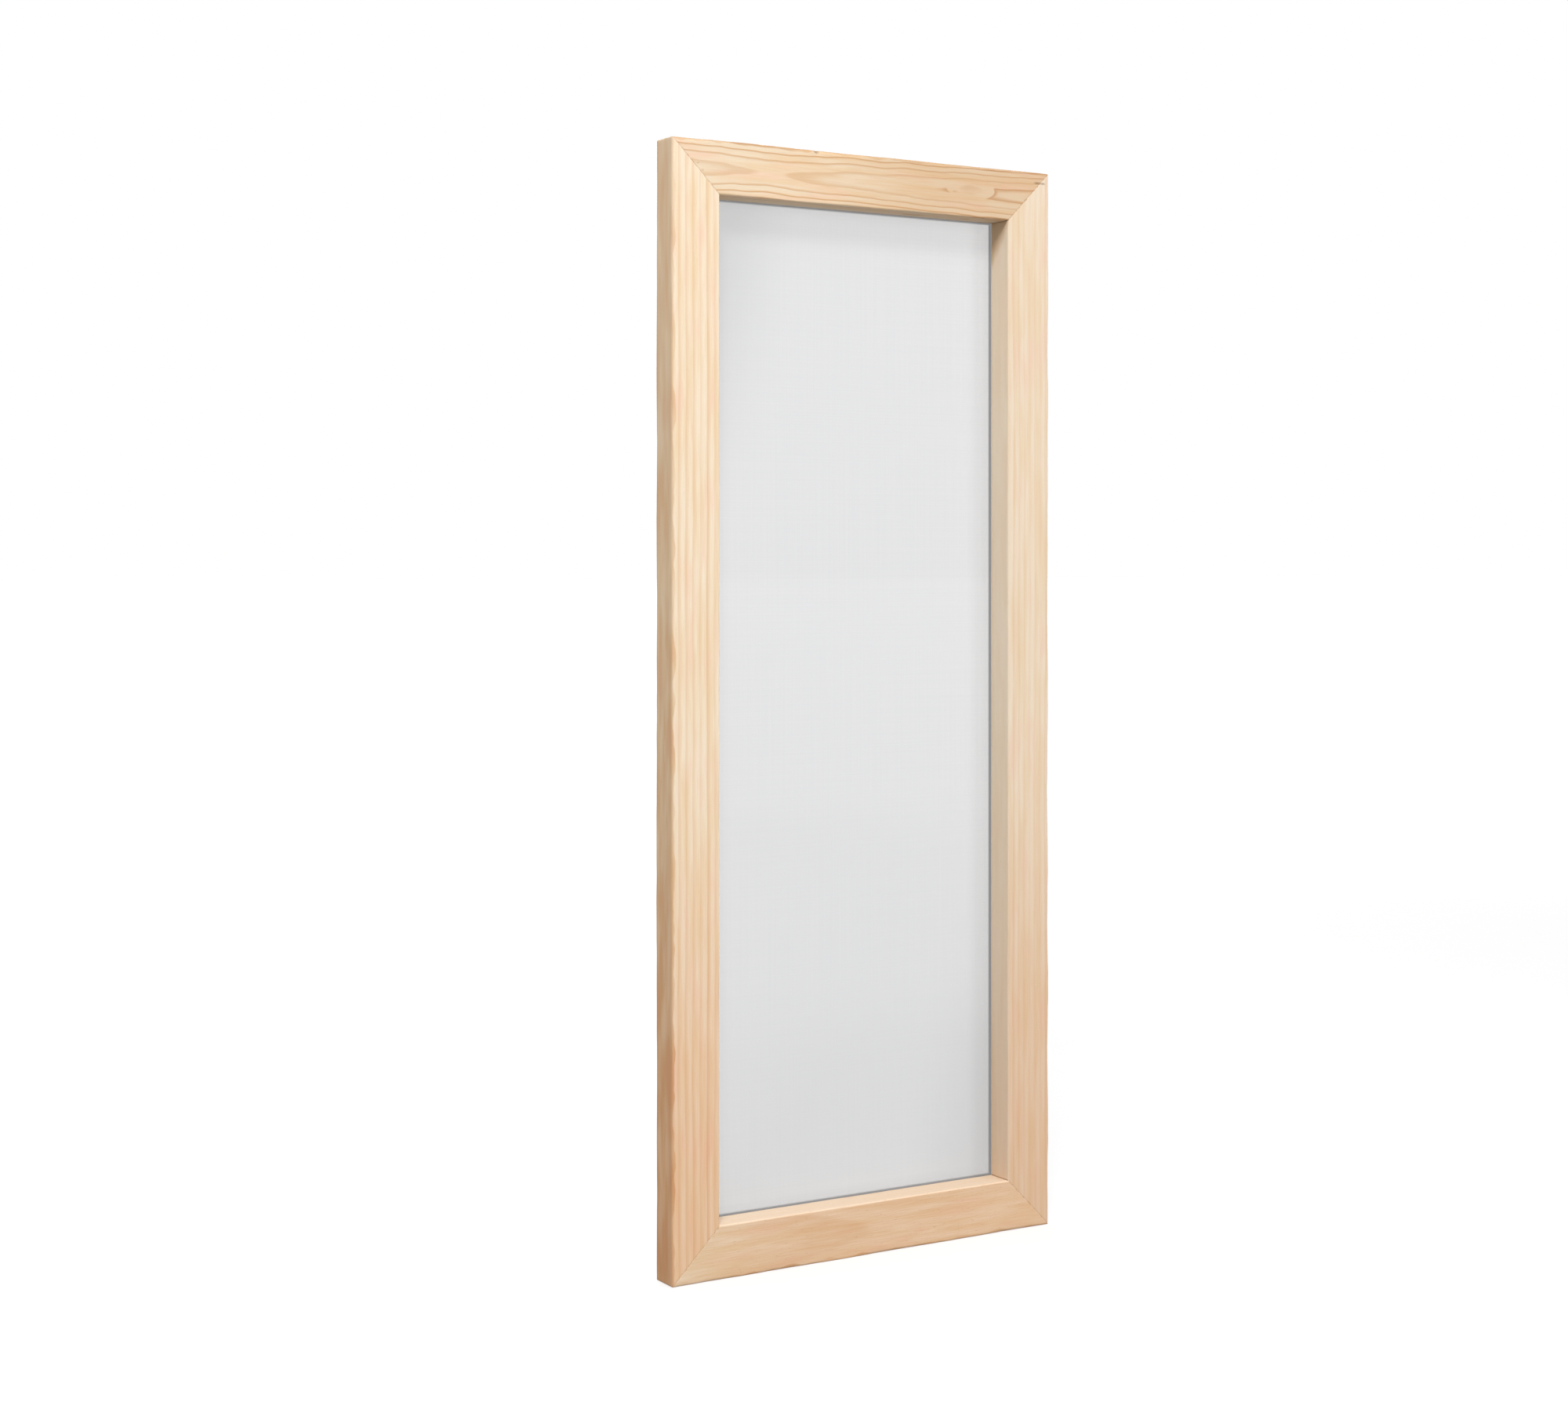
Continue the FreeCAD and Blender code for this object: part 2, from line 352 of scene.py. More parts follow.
def near(paint, point, centre, size, ragged=0.0):
    """1 at a place on the batten and 0 beyond an ellipse round it, which may have a ragged edge."""
    u, v, _ = point
    across = paint.math("DIVIDE", paint.math("SUBTRACT", v, centre[1]), size[1])
    along = paint.math("DIVIDE", paint.math("SUBTRACT", u, centre[0]), size[0])
    far = paint.math("ADD", paint.math("MULTIPLY", across, across), paint.math("MULTIPLY", along, along))
    if ragged:
        fray = paint.noise_value(paint.math("DIVIDE", u, 1.6), paint.math("DIVIDE", v, 0.5), centre[0])
        far = paint.math("MULTIPLY_ADD", fray, ragged, far)
    return paint.step(far, 0.0, 1.0 + 0.5 * ragged, 1.0, 0.0)


def streaks(paint, point, size, seed, detail=2.0):
    """Noise in patches of one length along the batten and one width, as a node."""
    u, v, depth = point
    length, width = size
    along = paint.math("MULTIPLY_ADD", u, 1 / length, seed)
    return paint.noise(along, paint.math("DIVIDE", v, width), paint.math("DIVIDE", depth, width), detail)


def growth_rings(paint, point, look):
    """How far along the growth rings a point is: the whole part counts rings from the pith."""
    u, v, depth = point
    wander = streaks(paint, point, (look["wander_length"], WANDER_WIDTH), look["seed"])
    shift = paint.node("ShaderNodeSeparateXYZ", wander.outputs["Color"])
    v = paint.math("MULTIPLY_ADD", shift.outputs[0], look["wander"], v)
    depth = paint.math("MULTIPLY_ADD", shift.outputs[1], look["sway"], depth)
    past_crest = paint.math("SUBTRACT", u, look["crest"])
    slope = paint.math("MULTIPLY_ADD", past_crest, past_crest, look["crest_length"] ** 2)
    slope = paint.math("SQRT", slope)
    pith = paint.math("MULTIPLY_ADD", slope, -look["rise"], look["pith_depth"])
    away = paint.math("SUBTRACT", pith, depth)
    across = paint.math("SUBTRACT", v, look["pith_v"])
    radius = paint.math("MULTIPLY_ADD", across, across, paint.math("MULTIPLY", away, away))
    radius = paint.math("SQRT", radius)
    for centre, size, swell in look["knots"]:
        radius = paint.math("MULTIPLY_ADD", near(paint, (u, v, depth), centre, size), swell, radius)
    return paint.math("DIVIDE", radius, look["ring"])


def latewood(paint, point, look):
    """Up to 1 in the dark outer part of each ring; some rings are darker than others."""
    rings = growth_rings(paint, point, look)
    part = paint.math("FRACT", rings)
    each = paint.node("ShaderNodeTexWhiteNoise", noise_dimensions="1D")
    paint.feed(each.inputs["W"], paint.math("FLOOR", rings))
    darkness = paint.math("MULTIPLY_ADD", each.outputs[0], 1 - PALEST_RING, PALEST_RING)
    begins = paint.step(part, look["line"], 0.9)
    ends = paint.step(part, 0.93, 1.0, 1.0, 0.0)
    return paint.math("MULTIPLY", paint.math("MULTIPLY", begins, ends), darkness)


def end_shade(paint, point, colour, look, inner_face):
    """Painted shade: browner and darker towards one end of the batten, the bottom of a stile or the right
    of a rail, though less so on its inner face.
    """
    shade_share = paint.step(point[0], *look["end_shade_from_to"])
    shade_share = paint.math("MULTIPLY", shade_share, paint.math("MULTIPLY_ADD", inner_face, -0.35, 1.0))
    return paint.mix(shade_share, colour, look["end_shade"], "MULTIPLY")


def handled_edge(paint, point, colour, look, blush):
    """A patina on the outer side, which reaches unevenly round onto the front and back."""
    u, v, _ = point
    reach = paint.noise_value(paint.math("DIVIDE", u, 26.0), look["seed"], 0.0, detail=1.5)
    reach = paint.step(reach, 0.35, 0.68, 0.1, look["patina"])
    on_edge = paint.step(paint.math("SUBTRACT", v, reach), 0.0, 0.9, 1.0, 0.0)
    on_edge = paint.math("MULTIPLY", on_edge, paint.step(blush, 0.3, 0.65, 0.35, 1.0))
    on_edge = paint.math("MULTIPLY", on_edge, paint.step(u, *PATINA_FROM_TO, 0.55, 1.0))
    return paint.mix(on_edge, colour, look["edge"], "MULTIPLY")


def stained_and_shaded_corner(paint, point, colour, look, side, inner_face, blotch):
    """A brown stain and a painted shadow on the inner face, at the batten's far end and more so towards the
    back, where the batten that meets it would cast its shadow.
    """
    u, _, depth = point
    from_corner = paint.math("SUBTRACT", (HALF_LENGTH[side] - RAIL_WIDTH) / MM, u)
    # The painted shadow's triangle reaches further from the corner towards the back
    stain_and_shade = paint.math("MULTIPLY_ADD", depth, -1.5, from_corner)
    stain_and_shade = paint.math("MULTIPLY_ADD", blotch, 12.0, stain_and_shade)
    stain_and_shade = paint.step(stain_and_shade, 14.0, 0.0, 0.0, look["corner_stain_and_shade"])
    return paint.mix(paint.math("MULTIPLY", stain_and_shade, inner_face), colour, CORNER_STAIN_AND_SHADE, "MULTIPLY")


def marked(paint, point, colour, look):
    """Small dark marks, on the front only."""
    on_front = paint.step(point[2], 3.0, 7.0, 1.0, 0.0)
    for centre, size, strength, tone in look["marks"]:
        spot = paint.math("MULTIPLY", near(paint, point, centre, size, ragged=1.6), strength)
        colour = paint.mix(paint.math("MULTIPLY", spot, on_front), colour, tone)
    return colour


def glued_mitre(paint, point, colour, look, side):
    """A thin uneven line where the glue has soaked into the end of the batten."""
    u, v, _ = point
    used = paint.math("ADD", paint.math("ABSOLUTE", u), v)
    to_mitre = paint.math("SUBTRACT", HALF_LENGTH[side] / MM, used)
    across, along = paint.math("DIVIDE", v, 3.0), paint.math("DIVIDE", u, 3.0)
    uneven = paint.noise_value(across, along, look["seed"], detail=3.0)
    soaked = paint.math("MULTIPLY_ADD", uneven, 1.5, 0.1)
    joint = paint.math("SUBTRACT", 1.0, paint.math("DIVIDE", to_mitre, soaked))
    joint = paint.math("MULTIPLY", paint.step(joint, 0.0, 0.8), paint.step(uneven, 0.4, 0.7, 0.1, 0.75))
    return paint.mix(joint, colour, JOINT_GLUE)


def pine(side, look):
    """Planed pine: growth rings that turn in three dimensions, fibres, stains, painted light and shade, and
    a joint line.
    """
    paint = Paint("pine_" + side)
    point = batten_point(paint, side)
    seed = look["seed"]
    late = latewood(paint, point, look)
    blotch = streaks(paint, point, BLOTCH_SIZE, seed).outputs[0]
    blush = streaks(paint, point, BLUSH_SIZE, seed + 20).outputs[0]
    fibre = streaks(paint, point, FIBRE_SIZE, seed, detail=3.0).outputs[0]
    duct = streaks(paint, point, DUCT_SIZE, seed, detail=1.0).outputs[0]
    inner_face = paint.step(point[1], *INNER_FACE_FROM_TO)

    colour = paint.mix(paint.step(blotch, 0.35, 0.7), look["early"], look["warm"])
    colour = paint.mix(paint.step(blush, 0.5, 0.75, 0.0, 0.75), colour, look["blush"])
    colour = paint.mix(paint.math("MULTIPLY", late, look["contrast"]), colour, look["late"])
    colour = paint.mix(paint.step(fibre, 0.3, 0.75, 0.0, look["fibres"]), colour, look["late"])
    # Painted light: the inner faces turned paler, the bottom rail's upward face the most
    colour = paint.mix(paint.math("MULTIPLY", inner_face, look["inner_light"]), colour, INNER_FACE_LIGHT)
    colour = end_shade(paint, point, colour, look, inner_face)
    colour = handled_edge(paint, point, colour, look, blush)
    colour = paint.mix(paint.step(duct, 0.66, 0.8, 0.0, look["flecks"]), colour, look["duct"])
    colour = stained_and_shaded_corner(paint, point, colour, look, side, inner_face, blotch)
    colour = marked(paint, point, colour, look)
    colour = glued_mitre(paint, point, colour, look, side)

    relief = paint.math("MULTIPLY_ADD", fibre, 0.5, paint.math("MULTIPLY", late, 0.5))
    roughness = paint.math("MULTIPLY_ADD", late, -0.08, 0.62)
    return paint.finish(colour, roughness, relief, 0.12, Specular_IOR_Level=0.35)


# ---------------------------------------------------------------- the other materials

# In millimetres
WEAVE_PITCH = 0.36
TWILL_PITCH = 0.9
TAPE_THREAD_PITCH = 0.45

OPEN_SHARE = 0.33
CREVICE_OPEN_SHARE = 0.05

THREAD_LIGHT = srgb(212, 212, 214)
THREAD_DARK = srgb(208, 209, 211)
THREAD_SHADED = srgb(182, 183, 185)
THREAD_SHADED_LOW = srgb(176, 177, 179)
EDGE_SHADE = srgb(150, 151, 153)
CREVICE_SHADE = srgb(138, 139, 140)


def thread_colour(paint, x, z):
    """Greyish white with faint thick threads, and with painted shade: greyer low down and in the top left
    and bottom right corners.
    """
    warp_slub = paint.noise_value(paint.math("DIVIDE", x, 1.2), paint.math("DIVIDE", z, 160.0), 3.0)
    weft_slub = paint.noise_value(paint.math("DIVIDE", x, 160.0), paint.math("DIVIDE", z, 1.2), 9.0)
    slub = paint.math("ADD", warp_slub, weft_slub)
    colour = paint.mix(paint.step(slub, 0.7, 1.3), THREAD_DARK, THREAD_LIGHT)
    across = paint.math("DIVIDE", x, HALF_WIDTH / MM)
    up = paint.math("DIVIDE", paint.math("SUBTRACT", z, MIDDLE / MM), MIDDLE / MM)
    # Painted shade in the top left and bottom right corners
    corner_shade = paint.step(paint.math("MULTIPLY", across, up), -0.64, -0.2, 1.0, 0.0)
    colour = paint.mix(corner_shade, colour, THREAD_SHADED)
    # Painted shade, growing towards the bottom
    return paint.mix(paint.step(up, 0.4, -0.95, 0.0, 0.4), colour, THREAD_SHADED_LOW)


def past_opening(paint, x, z):
    """How far past the edge of the opening a point is, and less than 0 inside it."""
    past_side = paint.math("SUBTRACT", paint.math("ABSOLUTE", x), (HALF_WIDTH - RAIL_WIDTH) / MM)
    past_end = paint.math("ABSOLUTE", paint.math("SUBTRACT", z, MIDDLE / MM))
    past_end = paint.math("SUBTRACT", past_end, (MIDDLE - RAIL_WIDTH) / MM)
    return paint.math("MAXIMUM", past_side, past_end)


def see_through(paint, colour, open_share):
    """Half the light that meets the threads goes through them, and some misses them."""
    through = paint.node("ShaderNodeBsdfTranslucent", colour)
    cloth = paint.node("ShaderNodeMixShader", 0.5, paint.shader.outputs[0], through.outputs[0])
    clear = paint.node("ShaderNodeBsdfTransparent")
    seen = paint.node("ShaderNodeMixShader", open_share, cloth.outputs[0], clear.outputs[0])
    paint.feed(paint.tree.nodes["Material Output"].inputs["Surface"], seen.outputs[0])


def woven_polyester():
    """White monofilament mesh: it lets some light through, and its threads shine a little."""
    paint = Paint("polyester_mesh")
    x, _, z = paint.position()
    weave = paint.math("MULTIPLY", paint.wave(x, WEAVE_PITCH), paint.wave(z, WEAVE_PITCH))
    past = past_opening(paint, x, z)
    crevice = paint.math("MULTIPLY", paint.step(past, -1.7, -0.3), paint.step(past, 0.8, 2.6, 1.0, 0.0))
    colour = thread_colour(paint, x, z)
    colour = paint.mix(paint.step(past, -11.0, -1.5, 0.0, 0.2), colour, EDGE_SHADE)
    colour = paint.mix(crevice, colour, CREVICE_SHADE)
    material = paint.finish(colour, 0.4, weave, 0.03, IOR=1.64, Specular_IOR_Level=1.0)
    open_share = paint.math("MULTIPLY_ADD", crevice, CREVICE_OPEN_SHARE - OPEN_SHARE, OPEN_SHARE)
    see_through(paint, colour, open_share)
    return material


def cotton_twill(name, along):
    """Unbleached cotton tape with a diagonal weave. along is 0 where it runs along x, 2 along z."""
    paint = Paint(name)
    place_mm = paint.position()
    length, width = place_mm[along], place_mm[2 - along]
    ridge = paint.wave(paint.math("ADD", length, width), TWILL_PITCH)
    thread = paint.wave(width, TAPE_THREAD_PITCH)
    weave = paint.math("MULTIPLY_ADD", thread, 0.35, ridge)
    stain = paint.noise_value(paint.math("DIVIDE", length, 30.0), paint.math("DIVIDE", width, 12.0), 5.0)
    slub = paint.noise_value(paint.math("DIVIDE", length, 6.0), paint.math("DIVIDE", width, 0.6), 1.0)
    colour = paint.mix(paint.step(stain, 0.3, 0.7), srgb(238, 229, 210), srgb(246, 239, 225))
    colour = paint.mix(paint.step(slub, 0.55, 0.8, 0.0, 0.35), colour, srgb(212, 198, 172))
    # Painted shade in the low parts of the weave
    colour = paint.mix(paint.step(weave, -1.2, 0.0, 0.3, 0.0), colour, srgb(186, 170, 146))
    return paint.finish(colour, 0.9, weave, 0.12, Sheen_Weight=0.25)


def dried_adhesive():
    """Adhesive brushed on and dried: yellowish, glossy and uneven."""
    paint = Paint("adhesive")
    x, _, z = paint.position()
    brush = paint.noise_value(paint.math("DIVIDE", x, 7.0), paint.math("DIVIDE", z, 7.0), 2.0, detail=4.0)
    colour = paint.mix(paint.step(brush, 0.3, 0.7), srgb(214, 196, 150), srgb(232, 220, 184))
    return paint.finish(colour, 0.3, brush, 0.06)


def steel(name, tone, seed):
    """Drawn or rolled steel with fine marks and a faint bloom."""
    paint = Paint(name)
    x, y, z = paint.position()
    drawn = paint.noise_value(paint.math("MULTIPLY", x, 6.0), paint.math("MULTIPLY", z, 6.0), y)
    bloom = paint.noise_value(paint.math("DIVIDE", x, 3.0), seed, paint.math("DIVIDE", z, 3.0))
    colour = paint.mix(paint.step(bloom, 0.4, 0.8, 0.0, 0.5), tone, srgb(150, 148, 146))
    roughness = paint.step(bloom, 0.3, 0.8, 0.28, 0.48)
    return paint.finish(colour, roughness, drawn, 0.01, Metallic=1.0)


def pressed_beech():
    """A joiner's biscuit: crushed beech with short flecks across it."""
    paint = Paint("beech")
    x, y, z = paint.position()
    across = paint.math("MULTIPLY", paint.math("ADD", x, z), 1.4)
    fleck = paint.noise_value(across, paint.math("MULTIPLY", y, 3.0), paint.math("DIVIDE", x, 4.0))
    colour = paint.mix(paint.step(fleck, 0.45, 0.7), srgb(206, 168, 126), srgb(168, 122, 82))
    return paint.finish(colour, 0.75, fleck, 0.1)


# ---------------------------------------------------------------- meshes


def new_piece(name, mesh, material):
    """A shown piece with one material, which rides on the frame's only body."""
    piece = bpy.data.objects.new(name, mesh)
    bpy.context.scene.collection.objects.link(piece)
    mesh.materials.append(material)
    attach(piece, "root")
    return piece


def turn_and_crease(work):
    """Turns the faces outwards, and marks the edges that aren't shaded smoothly."""
    bmesh.ops.recalc_face_normals(work, faces=work.faces)
    for edge in work.edges:
        edge.smooth = edge.calc_face_angle(0.0) < SHARP_ANGLE


def mesh_of(name, points, faces):
    """A mesh with its normals turned outwards and its flat and round parts shaded as such."""
    mesh = bpy.data.meshes.new(name)
    mesh.from_pydata([tuple(p) for p in points], [], faces)
    work = bmesh.new()
    work.from_mesh(mesh)
    turn_and_crease(work)
    for face in work.faces:
        face.smooth = True
    work.to_mesh(mesh)
    work.free()
    return mesh


def sanded(base, uneven, u, seed):
    """The radius of a sanded arris at one place along it. uneven is 1 where it was done by hand."""
    slow = noise.noise(Vector((u * SLOW_WAVES_PER_M, seed, 0.0)))
    quick = noise.noise(Vector((u * QUICK_WAVES_PER_M, seed, 5.0)))
    return base * max(LEAST_ARRIS, 1 + uneven * (0.95 * slow + 0.3 * quick))


def section(u, seed):
    """The batten's outline at one place along it, as (v, y) points in order round it."""
    # Each corner: v, y, radius, unevenness, the way in along v and y, and the parts of its next flat
    corners = [
        (0.0, FRONT, FRONT_OUTER_ARRIS, 1.0, 1, 1, 8),
        (0.0, WOOD_BACK, BACK_OUTER_ARRIS, 0.7, 1, -1, 12),
        (RAIL_WIDTH, WOOD_BACK, BACK_INNER_ARRIS, 0.2, -1, -1, 8),
        (RAIL_WIDTH, FRONT, FRONT_INNER_ARRIS, 0.6, -1, 1, 14),
    ]
    angles = [j / ARC_PARTS * math.pi / 2 for j in range(ARC_PARTS + 1)]
    arcs = []
    for i, (v, y, base, uneven, inward_v, inward_y, flat_parts) in enumerate(corners):
        radius = sanded(base, uneven, u, seed + 3.7 * i)
        arc = [
            (v + inward_v * radius * (1 - math.sin(a)), y + inward_y * radius * (1 - math.cos(a)))
            for a in angles
        ]
        if inward_v * inward_y < 0:
            arc.reverse()
        arcs.append((arc, flat_parts))
    outline = []
    for (arc, flat_parts), (next_arc, _) in zip(arcs, arcs[1:] + arcs[:1]):
        outline += arc
        start, end = arc[-1], next_arc[0]
        for j in range(1, flat_parts):
            share = j / flat_parts
            outline.append(tuple(a + (b - a) * share for a, b in zip(start, end)))
    return outline


def ring_places(side, dents):
    """Where along the batten its outline is repeated, with more places at its ends and dents."""
    half = HALF_LENGTH[side]
    count = round(2 * half / RING_STEP)
    places = [half * (2 * i / count - 1) for i in range(1, count)]
    ends = [half - CORNER_RADIUS, half - CORNER_RADIUS / 2, half]
    places += ends + [-u for u in ends]
    for (u, _), reach, _ in dents:
        places += [u + reach * k / 3 for k in range(-6, 7)]
    return sorted(places)


def eased_corner(v, u, half):
    """Keeps a point on the frame's rounded outer corner. half is half the batten's length."""
    past = abs(u) - (half - CORNER_RADIUS)
    if past <= 0:
        return v
    return max(v, CORNER_RADIUS - math.sqrt(max(CORNER_RADIUS**2 - past**2, 0.0)))


def dented(u, v, y, dents):
    """y with the dents' depths added, where the point is near the front."""
    for (dent_u, dent_v), reach, deep in dents:
        far = ((u - dent_u) ** 2 + (v - dent_v) ** 2) / reach**2
        if y < FRONT + DENTED_LAYER:
            y += deep * math.exp(-far)
    return y


def batten(side, seed, dents=()):
    """One mitred batten."""
    half = HALF_LENGTH[side]
    mitre_corner = CORNER_RADIUS * (1 - math.sqrt(0.5))
    points = []
    places = ring_places(side, dents)
    for i, middle_u in enumerate(places):
        at_end = i in (0, len(places) - 1)
        for v, y in section(middle_u, seed):
            if at_end:
                v = min(max(v, mitre_corner), RAIL_WIDTH - MITRE_EASE)
                y = min(max(y, FRONT + MITRE_EASE), WOOD_BACK - MITRE_EASE)
            u = middle_u / half * (half - v)
            v = eased_corner(v, u, half)
            points.append(place(side, u, v, dented(u, v, y, dents)))
    size = len(points) // len(places)
    faces = [
        (r * size + j, r * size + (j + 1) % size, (r + 1) * size + (j + 1) % size, (r + 1) * size + j)
        for r in range(len(places) - 1)
        for j in range(size)
    ]
    faces.append(tuple(range(size)))
    faces.append(tuple(range(len(points) - size, len(points))))
    name = BATTENS[side] + "_planed"
    piece = new_piece(name, mesh_of(name, points, faces), pine(side, GRAIN[side]))
    piece.modifiers.new("flat_faces", "WEIGHTED_NORMAL").keep_sharp = True
    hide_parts(BATTENS[side])


def grid(name, across, along, point):
    """A sheet of quads over a grid of places; point gives each place's position."""
    points = [point(i / across, j / along) for j in range(along + 1) for i in range(across + 1)]
    row = across + 1
    faces = [
        (j * row + i, j * row + i + 1, (j + 1) * row + i + 1, (j + 1) * row + i)
        for j in range(along)
        for i in range(across)
    ]
    return mesh_of(name, points, faces)


def thicken(mesh, front_y):
    """Closes a sheet that lies across y: its copy, flat at front_y, becomes its front."""
    work = bmesh.new()
    work.from_mesh(mesh)
    front = bmesh.ops.extrude_face_region(work, geom=work.faces[:], use_keep_orig=True)
    for part in front["geom"]:
        if isinstance(part, bmesh.types.BMVert):
            part.co.y = front_y
    turn_and_crease(work)
    work.to_mesh(mesh)
    work.free()


def cut_edge(share, edge_from, along, seed):
    """How far the mesh's cut edge wanders in at a place along it, for the outermost two rows."""
    if abs(share - 0.5) <= edge_from:
        return 0.0
    inward = MESH_FRAY * abs(noise.noise(Vector((along * FRAY_WAVES_PER_M, seed, 0.0))))
    return inward if share < 0.5 else -inward


def stretched_mesh():
    """The screen mesh: flat where it is tight, its cut edge a little uneven outside the tape."""
    low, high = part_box("screen_mesh")
    middle_y = (low.y + high.y) / 2

    def point(across, along):
        x = low.x + (high.x - low.x) * across
        z = low.z + (high.z - low.z) * along
        return Vector((x + cut_edge(across, 0.49, z, 1.0), middle_y, z + cut_edge(along, 0.495, x, 2.0)))

    mesh = grid("stretched_mesh", MESH_COLUMNS, MESH_ROWS, point)
    piece = new_piece("stretched_mesh", mesh, woven_polyester())
    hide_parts("screen_mesh")


def surface_of(node):
    """A CAD node's surface, to measure distances from."""
    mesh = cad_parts[node].data
    corners = [vertex.co for vertex in mesh.vertices]
    return BVHTree.FromPolygons(corners, [polygon.vertices for polygon in mesh.polygons])


def cotton_tape(side):
    """A woven tape over the mesh: held flat by its staples, and a little full in between."""
    low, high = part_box("tape_" + side)
    upright = high.z - low.z > high.x - low.x
    length = max(high.z - low.z, high.x - low.x)
    width = min(high.z - low.z, high.x - low.x)
    staples = surface_of("staples_" + side)
    seed = 10.0 * len(side)

    def point(across, along):
        far_edge, far_end = float(across > 0.5), float(along > 0.5)
        selvedge = TAPE_SELVEDGE_WANDER * abs(noise.noise(Vector((along * length * 40, seed, far_edge))))
        cut_end = TAPE_END_WANDER * abs(noise.noise(Vector((across * width * 600, seed, far_end))))
        w = selvedge + (width - 2 * selvedge) * across
        u = cut_end + (length - 2 * cut_end) * along
        if upright:
            flat = Vector((low.x + w, TAPE_BACK, low.z + u))
        else:
            flat = Vector((low.x + u, TAPE_BACK, low.z + w))
        free = 1 - math.exp(-((staples.find_nearest(flat)[3] / TAPE_PINCH) ** 2))
        held = (2 * across - 1) ** 4
        ripple = 0.6 + 0.8 * noise.noise(Vector((u * 90, w * 120, seed)))
        flat.y += TAPE_FULLNESS * free * (1 - held) * ripple - TAPE_EDGE_DROP * held**4
        return flat

    name = "cotton_tape_" + side
    mesh = grid(name, round(width / TAPE_STEP), round(length / TAPE_STEP), point)
    thicken(mesh, MESH_BACK)
    piece = new_piece(name, mesh, cotton_twill("cotton_" + side, 2 if upright else 0))
    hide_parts("tape_" + side)


def finish_cad(node, material):
    """Gives a CAD node, whose shape is right, its material."""
    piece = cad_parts[node]
    piece.data.materials.clear()
    piece.data.materials.append(material)


def make_object():
    for seed, side in enumerate(BATTENS):
        batten(side, 10.0 + 21.3 * seed, DENTS.get(side, ()))
    stretched_mesh()
    glue = dried_adhesive()
    staple_steel = steel("staple_wire", srgb(196, 198, 202), 4.0)
    for side in BATTENS:
        cotton_tape(side)
        finish_cad("adhesive_" + side, glue)
        finish_cad("staples_" + side, staple_steel)
    fastener_steel = steel("fastener_steel", srgb(150, 151, 154), 8.0)
    beech = pressed_beech()
    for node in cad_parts:
        if node.startswith("corrugated"):
            finish_cad(node, fastener_steel)
        if node.startswith("mitre_biscuit"):
            finish_cad(node, beech)


# ---------------------------------------------------------------- studio

# The camera's place, from the front's bottom left corner, in heights of the frame
CAMERA_TURN = math.radians(31.27)
CAMERA_RIGHT = 0.097
CAMERA_UP = 0.6251
CAMERA_BACK = 2.175
CAMERA_LENS = 57.56
CAMERA_SHIFT = -0.093

# Each soft panel: its name, its place, its power in watts and its width
PANELS = [
    ("key_panel", (-1.35, -1.82, 2.7), 67.0, 0.7),
    ("fill_panel", (1.75, -2.4, 0.75), 28.0, 0.8),
    ("back_panel", (0.5, 2.2, 1.6), 16.0, 1.0),
]

# The surround's strength on the object
FROM_ABOVE = 0.66
FROM_BELOW = 0.40

FLOOR_WIDTH = 200.0
FLOOR_CELLS = 8
FLOOR_GLOW_NEAR = 0.62
FLOOR_GLOW_FAR = 0.8
GLOW_FROM_TO = (1500.0, 4000.0)


def make_camera():
    """A level camera to the left of the frame, as high as five eighths of it."""
    forward = Vector((math.sin(CAMERA_TURN), math.cos(CAMERA_TURN), 0))
    right = Vector((math.cos(CAMERA_TURN), -math.sin(CAMERA_TURN), 0))
    corner = Vector((-HALF_WIDTH, FRONT, 0))
    data = bpy.data.cameras.new("camera")
    data.sensor_width = 36.0
    data.lens = CAMERA_LENS
    data.shift_y = CAMERA_SHIFT
    camera = bpy.data.objects.new("camera", data)
    offset = CAMERA_RIGHT * right + Vector((0, 0, CAMERA_UP)) - CAMERA_BACK * forward
    camera.location = corner + HEIGHT * offset
    camera.rotation_euler = (math.pi / 2, 0, -CAMERA_TURN)
    bpy.context.scene.collection.objects.link(camera)
    bpy.context.scene.camera = camera


def make_panel(name, location, watts, width):
    """A square light panel that faces the middle of the frame."""
    data = bpy.data.lights.new(name, "AREA")
    data.energy = watts
    data.size = width
    panel = bpy.data.objects.new(name, data)
    panel.location = location
    towards = Vector((0, 0, MIDDLE)) - Vector(location)
    panel.rotation_euler = towards.to_track_quat("-Z", "Y").to_euler()
    bpy.context.scene.collection.objects.link(panel)


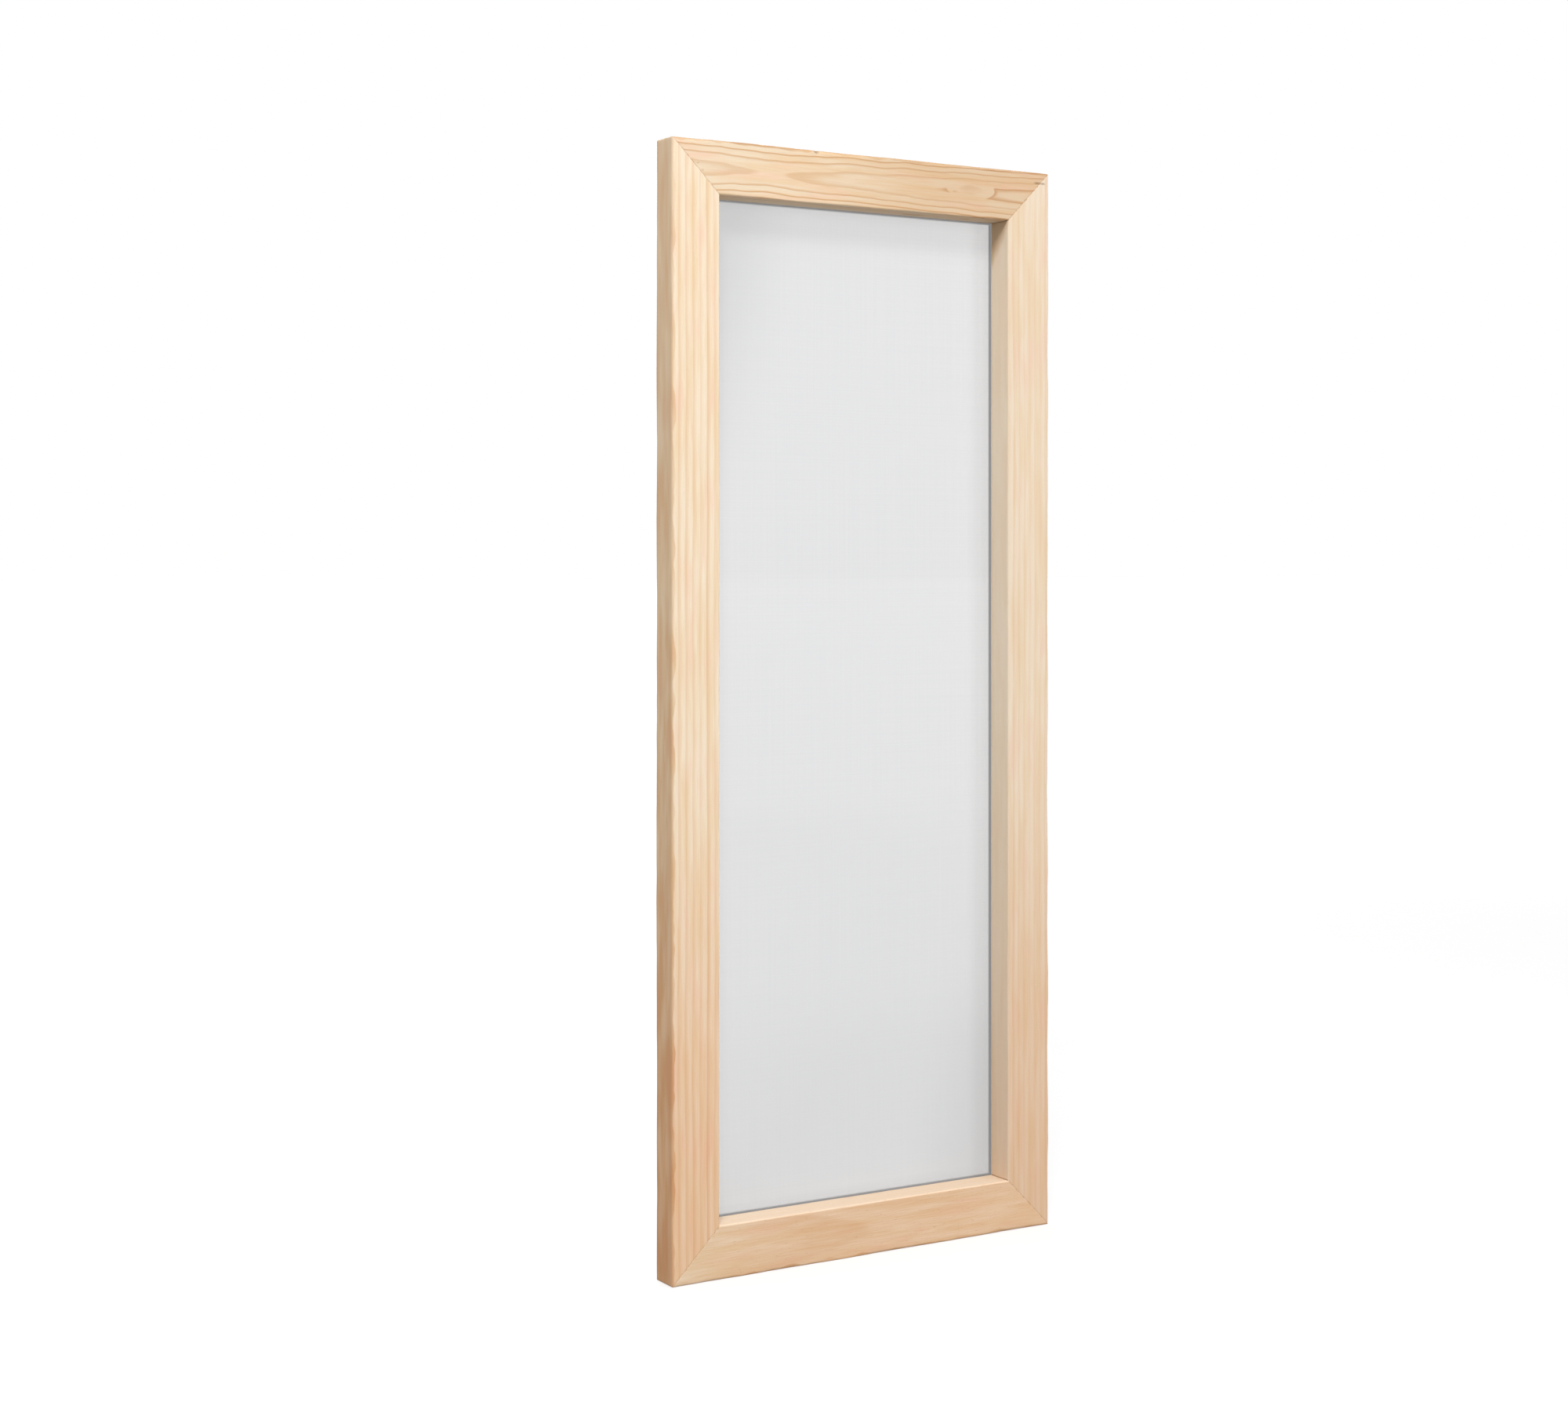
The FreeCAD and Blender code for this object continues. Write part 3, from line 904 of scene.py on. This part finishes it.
def make_surround():
    """White where the camera looks past the object; a dimmer light on it, mostly from above."""
    world = bpy.data.worlds.new("surround")
    bpy.context.scene.world = world
    world.use_nodes = True
    sky = Nodes(world.node_tree)
    direction = sky.node("ShaderNodeTexCoord").outputs["Generated"]
    up = sky.node("ShaderNodeSeparateXYZ", direction).outputs[2]
    strength = sky.node("ShaderNodeMapRange", up, -1.0, 1.0, FROM_BELOW, FROM_ABOVE).outputs[0]
    lighting = sky.tree.nodes["Background"]
    sky.feed(lighting.inputs["Color"], WHITE)
    sky.feed(lighting.inputs["Strength"], strength)
    seen = sky.node("ShaderNodeBackground", WHITE)
    by_camera = sky.node("ShaderNodeLightPath").outputs["Is Camera Ray"]
    switch = sky.node("ShaderNodeMixShader", by_camera, lighting.outputs[0], seen.outputs[0])
    sky.feed(sky.tree.nodes["World Output"].inputs["Surface"], switch.outputs[0])


def floor_paper():
    """Grey paper that gives off light, so that it looks white and still takes shadows."""
    paint = Paint("floor")
    x, y, _ = paint.position()
    speck = paint.noise_value(paint.math("DIVIDE", x, 40.0), paint.math("DIVIDE", y, 40.0), 0.0, detail=4.0)
    paper = paint.mix(speck, srgb(158, 158, 158), srgb(162, 162, 162))
    away = paint.math("ADD", paint.math("MULTIPLY", x, x), paint.math("MULTIPLY", y, y))
    away = paint.math("SQRT", away)
    glow = paint.step(away, *GLOW_FROM_TO, FLOOR_GLOW_NEAR, FLOOR_GLOW_FAR)
    paint.feed(paint.shader.inputs["Emission Strength"], glow)
    return paint.finish(paper, 0.9, speck, 0.05, Emission_Color=WHITE)


def make_floor():
    """A wide white floor that takes shadows; the surround lights the object from below instead."""

    def point(across, along):
        return Vector(((across - 0.5) * FLOOR_WIDTH, (along - 0.5) * FLOOR_WIDTH, 0.0))

    mesh = grid("floor", FLOOR_CELLS, FLOOR_CELLS, point)
    mesh.materials.append(floor_paper())
    floor = bpy.data.objects.new("floor", mesh)
    bpy.context.scene.collection.objects.link(floor)
    floor.visible_diffuse = False
    floor.visible_glossy = False


def make_studio():
    """A pale floor, soft panels above the front left, low on the right and behind, and a surround."""
    bpy.context.scene.view_settings.view_transform = "Standard"
    for panel in PANELS:
        make_panel(*panel)
    make_surround()
    make_floor()


make_object()
make_camera()
make_studio()
